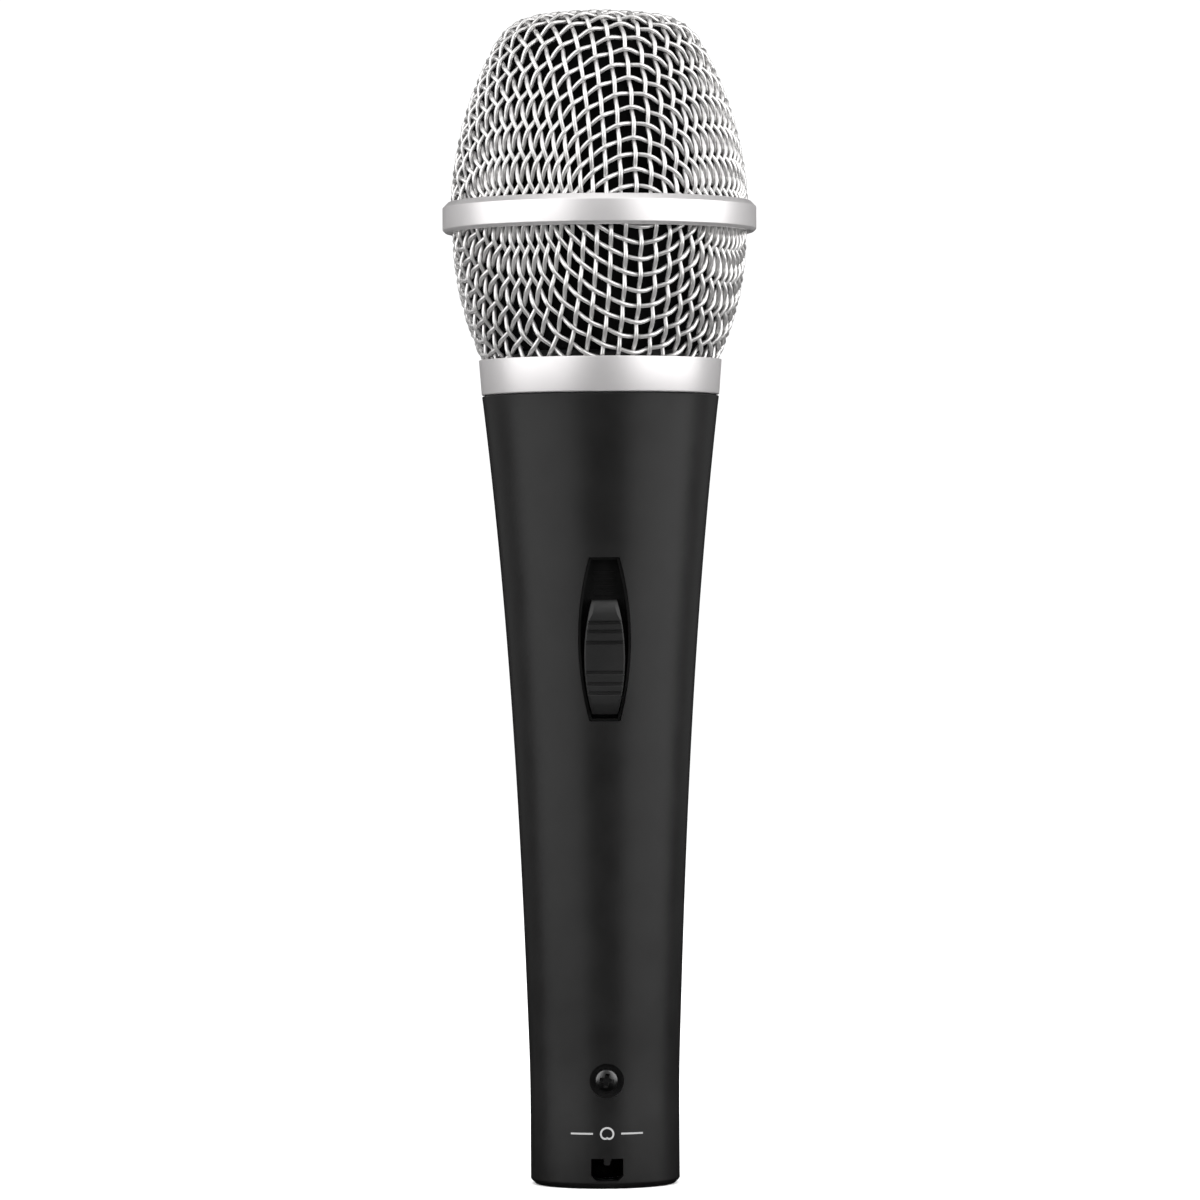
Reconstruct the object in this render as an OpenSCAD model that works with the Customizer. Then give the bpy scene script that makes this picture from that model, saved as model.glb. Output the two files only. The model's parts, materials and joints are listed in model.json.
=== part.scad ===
// Handheld dynamic microphone with an on/off slide switch and a three-pin connector.
// +Z runs from the connector end towards the head. -Y is the front, where the switch is.
// The origin is the centre of the connector end's face.

/* [Head] */
// Overall length, from the connector end to the top of the grille
mic_len = 184; // [182:0.5:188]
// Outer diameter of the band round the head
band_d = 49.3; // [49:0.1:52]
// Height of the band
band_h = 4.8; // [4:0.1:6]
// Height of the band's middle above the connector end
band_mid_z = 151.6; // [150:0.1:153]
// Diameter of the wire that the grille is woven from
wire_d = 0.7; // [0.6:0.05:0.9]
// Greatest radius of the upper basket
upper_r = 23.45; // [23:0.05:23.6]
// Greatest radius of the lower basket
lower_r = 23.15; // [22.8:0.05:23.2]
// Radius of curvature of the crowned top
crown_r = 70; // [60:1:90]
// Radius of curvature of the shoulder between the top and the side
shoulder_r = 8.4; // [7:0.1:10]
// Radius of curvature of the upper basket's side, seen in profile
side_r = 56; // [50:1:70]
// Radius of curvature of the lower basket, seen in profile
belly_r = 47; // [45:0.5:50]
// Thickness of the foam windscreen at the top
foam_t = 4; // [3:0.1:5]

/* [Collar and neck] */
// Height of the collar
collar_h = 5.5; // [5:0.1:6]
// Outer diameter of the collar at its top edge
collar_top_d = 38.14; // [38:0.02:38.4]
// Outer diameter of the threaded neck
neck_d = 34.4; // [34:0.1:34.6]
// Radial clearance between the neck and the collar
neck_gap = 0.08; // [0.05:0.01:0.1]
// Pitch of the neck's thread ridges
thread_pitch = 1; // [0.8:0.1:1.2]

/* [Handle] */
// Length of the handle, up to the shoulder under the collar
handle_len = 123.5; // [123:0.1:124]
// Diameter of the straight tail
tail_d = 23.4; // [23.2:0.1:24]
// Diameter at the shoulder under the collar
shoulder_d = 37.2; // [37:0.1:37.4]
// Height at which the tail begins to widen
taper_start = 17; // [16.5:0.5:18]
// Widening of the taper's lower stretch, in mm of radius per mm of height
cone_slope = 0.033; // [0.03:0.001:0.036]
// Exponent of the flare that is added to the cone
flare_power = 2.7; // [2.4:0.1:3]
// Wall thickness of the handle
wall = 1.6; // [1.4:0.1:1.8]

/* [Switch] */
// Height of the middle of the switch slot
slot_mid_z = 85.4; // [84:0.1:87]
// Length of the slot
slot_len = 25.5; // [25:0.1:26]
// Width of the slot at its middle
slot_mid_w = 8.2; // [8:0.1:8.6]
// Width of the slot at its ends
slot_end_w = 4.8; // [4.6:0.1:5]
// Length of the slider
slider_len = 17.7; // [17:0.1:17.9]
// Width of the slider at its middle
slider_mid_w = 6.3; // [6:0.1:6.4]
// Width of the slider at its ends
slider_end_w = 3.9; // [3.7:0.1:4]
// Travel of the switch between off and on
switch_travel = 6; // [5:0.1:6]

/* [Connector] */
// Diameter of the contact pins
pin_d = 2.4; // [2.3:0.05:2.5]
// Inner diameter of the socket round the pins
socket_d = 16.7; // [16.5:0.1:16.9]
// Depth of the socket
socket_depth = 12.5; // [12:0.1:13]
// Width of the latch window
window_w = 5; // [4.5:0.1:5.4]
// Height of the latch window
window_h = 3.5; // [3.2:0.1:3.6]
// Height of the connector's fixing screw
screw_z = 16.8; // [16.4:0.1:17.2]

/* [Hidden] */

$fn = 96;
fit_gap = 0.05;

// Handle
tail_r = tail_d / 2;
taper_len = handle_len - taper_start;
flare = shoulder_d / 2 - tail_r - cone_slope * taper_len;
taper_steps = 20;
tail_chamfer = 0.8;
neck_r = neck_d / 2;
neck_top_z = handle_len + 4.5;
neck_bore_r = 15.7;
neck_wall_z = 118;
insert_r = 9.55;
tail_bore_r = insert_r + fit_gap;
tail_bore_len = 22;
thread_depth = 0.3;
thread_ridges = 4;

// Head
mesh_t = 2 * wire_d;
crown_centre = [0, mic_len - crown_r];
side_centre = [upper_r - side_r, band_mid_z];
belly_centre = [lower_r - belly_r, band_mid_z - band_h / 2];
shoulder_centre = circles_cross(crown_centre, crown_r - shoulder_r, side_centre, side_r - shoulder_r);
crown_end_a = bearing(crown_centre, shoulder_centre);
side_start_a = bearing(side_centre, shoulder_centre);
seal_in_r = neck_r + 0.3;
seal_out_r = shoulder_d / 2 - 0.5;
seal_h = 0.62;
seal_groove = 0.5;
collar_z = handle_len + 0.2;
collar_top_z = collar_z + collar_h;
collar_bore_r = neck_r + neck_gap;
collar_shelf_r = 16.65;
collar_shelf_z = neck_top_z + 0.3;
collar_lip_h = 0.5;
lower_basket_z = collar_top_z - collar_lip_h + fit_gap;
band_web_h = 0.5;
lower_basket_top_z = band_mid_z - band_web_h / 2 - fit_gap;
upper_basket_z = band_mid_z + band_web_h / 2 + fit_gap;
foam_gap = 0.2;
foam_bore_r = 16.5;
foam_bottom_z = collar_top_z + 1.1;

// Capsule, from its rear chamber to its front cap
chamber_z = 110;
chamber_r = 12.95;
chamber_wall = 1;
felt_z = 139.95;
felt_h = 1;
frame_z = felt_z + felt_h + fit_gap;
frame_r = 15.2;
frame_floor_h = 2;
yoke_z = frame_z + frame_floor_h;
yoke_r = 12;
yoke_floor_h = 2;
magnet_z = yoke_z + yoke_floor_h;
magnet_r = 8.2;
magnet_h = 6.5;
pole_z = magnet_z + magnet_h;
pole_r = 8.6;
pole_h = 3.8;
pole_top_z = pole_z + pole_h;
top_plate_h = 2.5;
coil_r = 9.45;
coil_wall = 0.45;
coil_h = 5.7;
coil_z = pole_top_z - 4.5;
diaphragm_z = coil_z + coil_h;
diaphragm_r = 13.1;
diaphragm_t = 0.15;
ring_z = diaphragm_z + 0.5;
ring_h = 1;
gauze_z = ring_z + 3;
gauze_h = 0.4;
cap_wall = 0.4;
cap_top_h = 0.8;
cap_top_z = gauze_z + gauze_h + fit_gap + cap_top_h;
cap_bottom_z = frame_z + 7;

// Switch, in its own frame: X across, Y into the handle, Z along the handle's surface
slot_tilt = atan(handle_slope(slot_mid_z));
surround_t = 0.4;
slider_rest_gap = 0.7;
slider_mid_z = -slot_len / 2 + surround_t + slider_rest_gap + slider_len / 2;
slider_top_y = -1.15;
slider_step_h = 0.3;
slider_steps = [2.6, 4.35, 5.75];
slider_land = 6.9;
slider_end_drop = 1;
plate_y = 2.7;
plate_t = 0.6;
plate_w = 9;
stem_w = 3;
stem_len = 6;
stem_depth = 2.6;
frame_y = plate_y + plate_t + 0.15;
frame_t = 2;
frame_w = 12.4;
frame_len = 40;
knob_w = 1.8;
knob_y = frame_y + 1.4;
body_y = frame_y + frame_t + 0.9;
body_w = 6;
body_len = 17;
body_t = 3.2;
board_y = body_y + body_t + fit_gap;
board_t = 1.2;
board_w = 12;
board_len = 38;
board_screw_z = 16.5;
contact_pitch = 4;
contact_r = 0.35;

// Connector
pin_spots = [[3.8, -1.25], [-3.8, -1.25], [0, 4]];
pin_tip_z = 2.2;
insert_z = 0.6;
insert_back_z = 20;
pin_back_z = insert_back_z + 3;
pin_root_r = pin_d / 2 + 0.3;
window_z = 1.2;
window_tab_w = 1.1;
window_tab_h = 1;
key_w = 1;
key_h = 0.85;
key_z = window_z + window_h - window_tab_h;
recess_d = 5.35;
recess_depth = 1.5;
screw_head_d = 3.5;
screw_head_h = 1.1;
screw_shank_d = 2;
screw_len = 6;
spring_w = 2.6;
spring_t = 0.3;

// Leads
lead_x = [4.2, -4.2, 2.3];
lead_y = board_y + board_t + 0.5;
lead_r = 0.45;
lead_sides = 8;
lead_rings = 14;

// ---- Outlines ----

// Radius of the handle's outside at height z
function handle_r(z) =
    z <= taper_start ? tail_r
    : tail_r + cone_slope * (z - taper_start) + flare * pow((z - taper_start) / taper_len, flare_power);

// Widening of the handle at height z, in mm of radius per mm of height
function handle_slope(z) =
    cone_slope + flare * flare_power / taper_len * pow((z - taper_start) / taper_len, flare_power - 1);

// Points of the taper between two heights, moved inwards by inset
function taper(z0, z1, inset) =
    [for (i = [0:taper_steps]) let (z = z0 + (z1 - z0) * i / taper_steps) [handle_r(z) - inset, z]];

// Points along an arc in the r-z plane; angles are measured from +Z towards +r
function arc(centre, r, a0, a1, n) =
    [for (i = [0:n]) let (a = a0 + (a1 - a0) * i / n) centre + r * [sin(a), cos(a)]];

// Angle from +Z of the direction from one point to another
function bearing(from, to) = atan2(to.x - from.x, to.y - from.y);

// The outer of the two points where two circles cross
function circles_cross(c0, r0, c1, r1) =
    let (
        d = norm(c1 - c0),
        along = (r0 * r0 - r1 * r1 + d * d) / (2 * d),
        across = sqrt(r0 * r0 - along * along),
        u = (c1 - c0) / d
    )
    c0 + along * u + across * [-u.y, u.x] * (u.y > 0 ? -1 : 1);

// Angle at which an arc round a centre reaches height z
function arc_angle(centre, r, z) = acos((z - centre.y) / r);

// Upper basket's outline from its apex down to height z, moved inwards by inset
function upper_outline(inset, z) = concat(
    arc(crown_centre, crown_r - inset, 0, crown_end_a, 3),
    arc(shoulder_centre, shoulder_r - inset, crown_end_a, side_start_a, 8),
    arc(side_centre, side_r - inset, side_start_a, arc_angle(side_centre, side_r - inset, z), 8)
);

// Lower basket's outline from height z1 down to height z0, moved inwards by inset
function lower_outline(inset, z1, z0) =
    arc(belly_centre, belly_r - inset, arc_angle(belly_centre, belly_r - inset, z1),
        arc_angle(belly_centre, belly_r - inset, z0), 10);

function reversed(list) = [for (i = [len(list) - 1:-1:0]) list[i]];

// Point on a cubic Bezier curve
function bezier(p, t) =
    pow(1 - t, 3) * p[0] + 3 * t * pow(1 - t, 2) * p[1] + 3 * t * t * (1 - t) * p[2] + pow(t, 3) * p[3];

function unit(v) = v / norm(v);

// Where a point in the switch's own frame lies in the part's frame
function switch_point(p) = [
    p.x,
    p.y * cos(slot_tilt) - p.z * sin(slot_tilt) - handle_r(slot_mid_z),
    p.y * sin(slot_tilt) + p.z * cos(slot_tilt) + slot_mid_z
];

// ---- Shared shapes ----

// Ring with a rectangular section
module ring(r_out, r_in, z, h) {
    translate([0, 0, z])
        difference() {
            cylinder(r = r_out, h = h);
            translate([0, 0, -1])
                cylinder(r = r_in, h = h + 2);
        }
}

module disc(r, z, h) {
    translate([0, 0, z])
        cylinder(r = r, h = h);
}

// Flat outline with straight ends and bowed sides
module barrel_outline(length, mid_w, end_w) {
    bow = (mid_w - end_w) / 2;
    bow_r = (bow * bow + length * length / 4) / (2 * bow);
    intersection() {
        square([mid_w + 1, length], center = true);
        translate([mid_w / 2 - bow_r, 0])
            circle(r = bow_r, $fn = 360);
        translate([bow_r - mid_w / 2, 0])
            circle(r = bow_r, $fn = 360);
    }
}

// The barrel outline as a block from depth y0 to depth y1
module barrel(length, mid_w, end_w, y0, y1) {
    translate([0, y1, 0])
        rotate([90, 0, 0])
            linear_extrude(y1 - y0)
                barrel_outline(length, mid_w, end_w);
}

// Block centred on X and Z, from depth y0 to depth y1
module slab(w, y0, y1, length, z = 0) {
    translate([-w / 2, y0, z - length / 2])
        cube([w, y1 - y0, length]);
}

// Moves children from the switch's own frame to the handle's front
module at_switch() {
    translate([0, -handle_r(slot_mid_z), slot_mid_z])
        rotate([slot_tilt, 0, 0])
            children();
}

// Round lead along a cubic Bezier curve that never runs along X
module lead(p) {
    points = [
        for (i = [0:lead_rings])
            let (
                t = i / lead_rings,
                along = unit(bezier(p, min(t + 0.01, 1)) - bezier(p, max(t - 0.01, 0))),
                across = unit(cross(along, [1, 0, 0])),
                up = cross(along, across)
            )
            for (k = [0:lead_sides - 1])
                let (a = 360 * k / lead_sides)
                    bezier(p, t) + lead_r * (cos(a) * across + sin(a) * up)
    ];
    last = lead_rings * lead_sides;
    sides = [
        for (i = [0:lead_rings - 1], k = [0:lead_sides - 1])
            let (k2 = (k + 1) % lead_sides, here = i * lead_sides, next = here + lead_sides)
                [here + k, next + k, next + k2, here + k2]
    ];
    caps = [
        [for (k = [0:lead_sides - 1]) k],
        [for (k = [lead_sides - 1:-1:0]) last + k]
    ];
    polyhedron(points, concat(sides, caps));
}

// ---- Handle ----

module handle_shell() {
    color("#2b2a2a")
        difference() {
            rotate_extrude()
                polygon(concat(
                    [[tail_bore_r, 0], [tail_r - tail_chamfer, 0], [tail_r, tail_chamfer]],
                    taper(taper_start, handle_len, 0),
                    [[neck_r, handle_len], [neck_r, neck_top_z], [neck_bore_r, neck_top_z],
                     [neck_bore_r, neck_wall_z]],
                    reversed(taper(tail_bore_len + 3, neck_wall_z - 1, wall)),
                    [[tail_bore_r, tail_bore_len]]
                ));
            for (i = [0:thread_ridges - 1])
                ring(neck_r + 1, neck_r - thread_depth, handle_len + (i + 0.5) * thread_pitch,
                     thread_pitch / 2);
            ring(seal_out_r + 0.1, seal_in_r - 0.1, handle_len - seal_groove, 1);
            at_switch()
                barrel(slot_len, slot_mid_w, slot_end_w, -3, 4);
            latch_window(tail_r + 1);
            translate([0, -tail_r - 1, screw_z])
                rotate([-90, 0, 0]) {
                    cylinder(d = recess_d, h = 1 + recess_depth);
                    cylinder(d = screw_shank_d + 0.2, h = 4);
                }
        }
}

// Window for the plug's latch, with its lower corners cut off and a tab at the middle of its top edge
module latch_window(reach) {
    corner = 0.8;
    tab_root = window_tab_w / 2;
    tab_tip = tab_root - 0.15;
    translate([0, 0, window_z])
        rotate([90, 0, 0])
            linear_extrude(reach)
                polygon([
                    [corner - window_w / 2, 0], [window_w / 2 - corner, 0], [window_w / 2, corner],
                    [window_w / 2, window_h], [tab_root, window_h], [tab_tip, window_h - window_tab_h],
                    [-tab_tip, window_h - window_tab_h], [-tab_root, window_h],
                    [-window_w / 2, window_h], [-window_w / 2, corner]
                ]);
}

// ---- Connector ----

module connector_insert() {
    color("#1a1a1a") {
        difference() {
            disc(insert_r, insert_z, insert_back_z - insert_z);
            disc(socket_d / 2, insert_z - 1, socket_depth - insert_z + 1);
            latch_window(tail_r + 1);
            for (p = pin_spots)
                translate([p.x, p.y, 0])
                    cylinder(r = pin_root_r + 0.02, h = insert_back_z + 1);
            translate([0, -insert_r - 1, screw_z])
                rotate([-90, 0, 0])
                    cylinder(d = screw_shank_d + 0.1, h = screw_len);
            translate([-spring_w / 2 - 0.1, insert_r - 0.6, socket_depth])
                cube([spring_w + 0.2, 2, insert_back_z]);
        }
        key_rib();
    }
}

// Rib that turns the plug the right way round
module key_rib() {
    intersection() {
        translate([-key_w / 2, -socket_d / 2 - 0.5, key_z])
            cube([key_w, key_h + 0.5, socket_depth - key_z + 0.5]);
        disc(socket_d / 2 + 0.4, key_z, socket_depth);
    }
}

module connector_pins() {
    cup_r = pin_root_r - 0.3;
    color("gainsboro")
        for (p = pin_spots)
            translate([p.x, p.y, 0])
                difference() {
                    rotate_extrude()
                        polygon([
                            [0, pin_tip_z], [pin_d / 2 - 0.6, pin_tip_z], [pin_d / 2, pin_tip_z + 0.8],
                            [pin_d / 2, socket_depth - fit_gap], [pin_root_r, socket_depth - fit_gap],
                            [pin_root_r, pin_back_z], [0, pin_back_z]
                        ]);
                    disc(cup_r, pin_back_z - 2, 3);
                }
}

module connector_ground_spring() {
    spring_z = socket_depth + 0.3;
    spring_h = insert_back_z + 3 - spring_z;
    color("gold")
        translate([-spring_w / 2, insert_r - 0.5, spring_z]) {
            cube([spring_w, spring_t, spring_h]);
            translate([0, -2, spring_h - spring_t])
                cube([spring_w, 2, spring_t]);
        }
}

module connector_screw() {
    slot_w = 0.7;
    slot_l = 2.5;
    slot_turn = -8;
    color("#151515")
        translate([0, -tail_r + recess_depth - fit_gap, screw_z])
            rotate([90, 0, 0])
                difference() {
                    union() {
                        cylinder(d = screw_head_d, h = screw_head_h);
                        translate([0, 0, -screw_len + 1])
                            cylinder(d = screw_shank_d, h = screw_len);
                    }
                    for (a = [0, 90])
                        rotate([0, 0, slot_turn + a])
                            translate([-slot_l / 2, -slot_w / 2, screw_head_h - 0.6])
                                cube([slot_l, slot_w, 1]);
                }
}

// Leads from the solder cups to the lower half of the board
module connector_leads() {
    color("firebrick")
        for (i = [0:len(pin_spots) - 1])
            let (
                cup = [pin_spots[i].x, pin_spots[i].y, pin_back_z - 1.6],
                pad = switch_point([lead_x[i], lead_y, -10])
            )
                lead([cup, cup + [0, 0, 16], pad - [0, -6, 22], pad]);
}

// ---- Switch ----

module switch_surround() {
    color("#0c0c0c")
        at_switch()
            difference() {
                barrel(slot_len - 2 * fit_gap, slot_mid_w - 2 * fit_gap, slot_end_w - 2 * fit_gap,
                       0.5, plate_y - 0.3);
                barrel(slot_len - 2 * surround_t, slot_mid_w - 2 * surround_t,
                       slot_end_w - 2 * surround_t, -1, plate_y + 1);
            }
}

// Stepped finger dish, seen from the side: depth y against height z
module slider_profile() {
    half = slider_len / 2;
    floor_y = slider_top_y + len(slider_steps) * slider_step_h;
    stairs = [
        for (i = [0:len(slider_steps) - 1])
            for (drop = [0, 1])
                [floor_y - (i + drop) * slider_step_h, slider_steps[i]]
    ];
    end = [[slider_top_y, slider_land], [slider_top_y + slider_end_drop, half], [plate_y, half]];
    top = concat(stairs, end);
    polygon(concat(top, [for (p = reversed(top)) [p.x, -p.y]]));
}

module switch_slider() {
    color("#262626")
        at_switch()
            translate([0, 0, slider_mid_z])
                intersection() {
                    barrel(slider_len, slider_mid_w, slider_end_w, -3, plate_y);
                    translate([-5, 0, 0])
                        rotate([90, 0, 90])
                            linear_extrude(10)
                                slider_profile();
                }
}

// Cover plate that keeps the slot closed, with the stem that works the contact knob
module switch_carriage() {
    plate_len = slot_len + switch_travel + 2;
    plate_z = -switch_travel / 2;
    ridge_pitch = 1.1;
    color("#141414")
        at_switch() {
            slab(plate_w, plate_y, plate_y + plate_t, plate_len, plate_z);
            for (i = [0:3])
                slab(3, plate_y - 0.2, plate_y + plate_t / 2, 0.4, slot_len / 2 - 2.6 - i * ridge_pitch);
            difference() {
                slab(stem_w, plate_y + plate_t / 2, plate_y + plate_t + stem_depth, stem_len, slider_mid_z);
                slab(stem_w + 1, knob_y - 0.1, knob_y + 5, knob_w + 0.1, slider_mid_z);
            }
        }
}

module switch_knob() {
    color("#e8e4d8")
        at_switch()
            slab(knob_w, knob_y, body_y + 1.8, knob_w, slider_mid_z);
}

module switch_frame() {
    opening_len = stem_len + switch_travel + 1;
    color("#303030")
        at_switch()
            difference() {
                union() {
                    slab(frame_w, frame_y, frame_y + frame_t, frame_len);
                    for (s = [-1, 1])
                        slab(5, frame_y + 1, board_y - fit_gap, 4, s * board_screw_z);
                }
                slab(stem_w + 0.6, frame_y - 1, frame_y + frame_t + 1, opening_len,
                     slider_mid_z + switch_travel / 2);
                for (s = [-1, 1])
                    translate([0, board_y + 1, s * board_screw_z])
                        rotate([90, 0, 0])
                            cylinder(d = 1.7, h = 6, $fn = 32);
            }
}

module switch_body() {
    body_z = slider_mid_z + switch_travel / 2;
    color("lightgray")
        at_switch()
            difference() {
                slab(body_w, body_y, body_y + body_t, body_len, body_z);
                slab(knob_w + 0.6, body_y - 1, body_y + 2.2, knob_w + switch_travel + 0.8, body_z);
            }
}

module switch_contacts() {
    body_z = slider_mid_z + switch_travel / 2;
    color("gold")
        at_switch()
            for (i = [-1:1])
                translate([0, board_y + board_t + 1.2, body_z + i * contact_pitch])
                    rotate([90, 0, 0])
                        cylinder(r = contact_r, h = board_t + 1.2, $fn = 24);
}

module switch_board() {
    body_z = slider_mid_z + switch_travel / 2;
    color("darkgreen")
        at_switch()
            difference() {
                slab(board_w, board_y, board_y + board_t, board_len);
                for (i = [-1:1])
                    translate([0, board_y + board_t + 1, body_z + i * contact_pitch])
                        rotate([90, 0, 0])
                            cylinder(r = contact_r + fit_gap, h = board_t + 2, $fn = 24);
                for (s = [-1, 1])
                    translate([0, board_y + board_t + 1, s * board_screw_z])
                        rotate([90, 0, 0])
                            cylinder(d = 1.9, h = board_t + 2, $fn = 32);
            }
}

module switch_screws() {
    head_y = board_y + board_t + 0.02;
    color("silver")
        at_switch()
            for (s = [-1, 1])
                translate([0, head_y, s * board_screw_z])
                    rotate([-90, 0, 0]) {
                        cylinder(d = 3, h = 1.1, $fn = 32);
                        translate([0, 0, -5])
                            cylinder(d = 1.6, h = 5.5, $fn = 32);
                    }
}

// ---- Capsule ----

module capsule_shock_mount() {
    outer_r = neck_bore_r - fit_gap;
    inner_r = chamber_r + fit_gap;
    flange_r = collar_shelf_r - 0.35;
    flange_h = 1.8;
    foot_z = neck_wall_z + 1.5;
    color("#111111")
        difference() {
            union() {
                disc(outer_r - 0.7, foot_z, neck_top_z - foot_z + flange_h);
                for (z = [foot_z, foot_z + 4, neck_top_z - 1.5])
                    disc(outer_r, z, 1.5);
                disc(flange_r, neck_top_z, flange_h);
            }
            disc(inner_r, foot_z - 1, 20);
        }
}

module rear_chamber() {
    top_z = felt_z - fit_gap;
    flange_h = 1;
    color("#3a3a3a")
        difference() {
            union() {
                disc(chamber_r, chamber_z, top_z - chamber_z);
                disc(frame_r - 0.6, top_z - flange_h, flange_h);
            }
            disc(chamber_r - chamber_wall, chamber_z + chamber_wall, top_z - chamber_z);
            disc(1.5, chamber_z - 1, 3);
        }
}

module capsule_terminals() {
    tag_w = 1.6;
    tag_t = 0.4;
    disc_h = 1.5;
    color("#8a5a2a")
        difference() {
            disc(6, chamber_z - disc_h - fit_gap, disc_h);
            disc(1, chamber_z - 5, 6);
        }
    color("gold")
        for (s = [-1, 1])
            translate([s * 3.5 - tag_w / 2, -tag_t / 2, chamber_z - disc_h - 2.5])
                cube([tag_w, tag_t, 3]);
}

// Leads from the upper half of the board to the capsule's solder tags
module capsule_leads() {
    color("goldenrod")
        for (s = [-1, 1])
            let (
                pad = switch_point([s * 3.5, lead_y, 10]),
                tag = [s * 3.5, -0.25 - lead_r, chamber_z - 2.5]
            )
                lead([pad, pad + [0, 3, 5], tag - [0, 1, 5], tag]);
}

module rear_felt() {
    color("#6a6258")
        ring(frame_r - 0.7, 11, felt_z, felt_h);
}

module capsule_frame() {
    vent_r = 0.9;
    vents = 8;
    wall_r = 13.9;
    ledge_r = diaphragm_r + 0.3;
    color("#1d1d1f")
        difference() {
            rotate_extrude()
                polygon([
                    [9, frame_z], [frame_r, frame_z], [frame_r, ring_z - fit_gap],
                    [ledge_r, ring_z - fit_gap], [ledge_r, pole_top_z + 0.2], [wall_r, pole_top_z + 0.2],
                    [wall_r, yoke_z], [9, yoke_z]
                ]);
            for (i = [0:vents - 1])
                rotate([0, 0, 360 * i / vents])
                    translate([12.95, 0, frame_z - 1])
                        cylinder(r = vent_r, h = frame_floor_h + 2, $fn = 32);
        }
}

module magnet_yoke() {
    color("silver")
        difference() {
            disc(yoke_r, yoke_z + fit_gap, pole_top_z - top_plate_h - yoke_z - 2 * fit_gap);
            disc(yoke_r - 1.6, magnet_z, 20);
        }
}

module magnet() {
    color("dimgray")
        disc(magnet_r, magnet_z, magnet_h);
}

module pole_piece() {
    color("lightgray")
        disc(pole_r, pole_z, pole_h);
}

module magnet_top_plate() {
    color("lightgray")
        ring(yoke_r + 0.9, coil_r + coil_wall, pole_top_z - top_plate_h, top_plate_h);
}

module voice_coil() {
    color("#b5651d")
        ring(coil_r, coil_r - coil_wall, coil_z, coil_h);
}

// Domed centre with a half-round roll between the coil and the rim
module diaphragm() {
    dome_h = 1.9;
    dome_half = coil_r - 0.2;
    dome_r = (dome_half * dome_half + dome_h * dome_h) / (2 * dome_h);
    dome_centre = [0, diaphragm_z + dome_h - dome_r];
    dome_a = asin(dome_half / dome_r);
    roll_r = (diaphragm_r - 0.5 - coil_r) / 2;
    roll_centre = [coil_r + roll_r, diaphragm_z - 0.9];
    roll_reach_r = sqrt(roll_r * roll_r + 0.81);
    roll_a = atan2(roll_r, 0.9);
    top = concat(
        arc(dome_centre, dome_r + diaphragm_t, 0, dome_a, 8),
        arc(roll_centre, roll_reach_r + diaphragm_t, -roll_a, roll_a, 8),
        [[diaphragm_r, diaphragm_z + diaphragm_t]]
    );
    under = concat(
        arc(dome_centre, dome_r, 0, dome_a, 8),
        arc(roll_centre, roll_reach_r, -roll_a, roll_a, 8),
        [[diaphragm_r, diaphragm_z]]
    );
    color("#d8c8a0")
        rotate_extrude()
            polygon(concat(top, reversed(under)));
}

module diaphragm_ring() {
    color("#c8a050")
        ring(frame_r, diaphragm_r + 0.3, ring_z, ring_h);
}

module capsule_gauze() {
    color("#4a4a4a")
        disc(frame_r - 0.1, gauze_z, gauze_h);
}

module capsule_cap() {
    hole_r = 0.9;
    hole_rows = [1, 2, 3];
    row_pitch = 4;
    inner_r = frame_r + fit_gap;
    color("#bfc0c2")
        difference() {
            disc(inner_r + cap_wall, cap_bottom_z, cap_top_z - cap_bottom_z);
            disc(inner_r, cap_bottom_z - 1, cap_top_z - cap_top_h - cap_bottom_z + 1);
            disc(hole_r, cap_top_z - 2, 3);
            for (row = hole_rows, i = [0:6 * row - 1])
                rotate([0, 0, 60 * i / row])
                    translate([row * row_pitch, 0, cap_top_z - 2])
                        cylinder(r = hole_r, h = 3, $fn = 32);
        }
}

// ---- Head ----

// Rubber ring between the collar and the handle's shoulder
module head_seal() {
    color("#0a0a0a")
        ring(seal_out_r, seal_in_r, handle_len - seal_groove + 0.04, seal_h);
}

module grille_collar() {
    outer_top_r = collar_top_d / 2;
    bevel = 0.35;
    seat_z = lower_basket_z - fit_gap;
    color("silver")
        difference() {
            rotate_extrude()
                polygon([
                    [collar_bore_r, collar_z], [shoulder_d / 2 - bevel, collar_z],
                    [shoulder_d / 2 + 0.05, collar_z + bevel], [outer_top_r, collar_top_z - bevel / 2],
                    [outer_top_r - bevel / 2, collar_top_z], [outer_top_r - bevel, collar_top_z],
                    [outer_top_r - bevel, seat_z], [collar_shelf_r, seat_z],
                    [collar_shelf_r, collar_shelf_z], [collar_bore_r, collar_shelf_z]
                ]);
            for (i = [0:thread_ridges - 1])
                ring(collar_bore_r + thread_depth, collar_bore_r - 0.5, collar_z + (i + 0.3) * thread_pitch,
                     thread_pitch / 2);
        }
}

module grille_lower() {
    color("lightgray")
        rotate_extrude()
            polygon(concat(
                lower_outline(0, lower_basket_top_z, lower_basket_z),
                reversed(lower_outline(mesh_t, lower_basket_top_z, lower_basket_z))
            ));
}

module grille_upper() {
    color("lightgray")
        rotate_extrude()
            polygon(concat(
                upper_outline(0, upper_basket_z),
                reversed(upper_outline(mesh_t, upper_basket_z))
            ));
}

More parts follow.
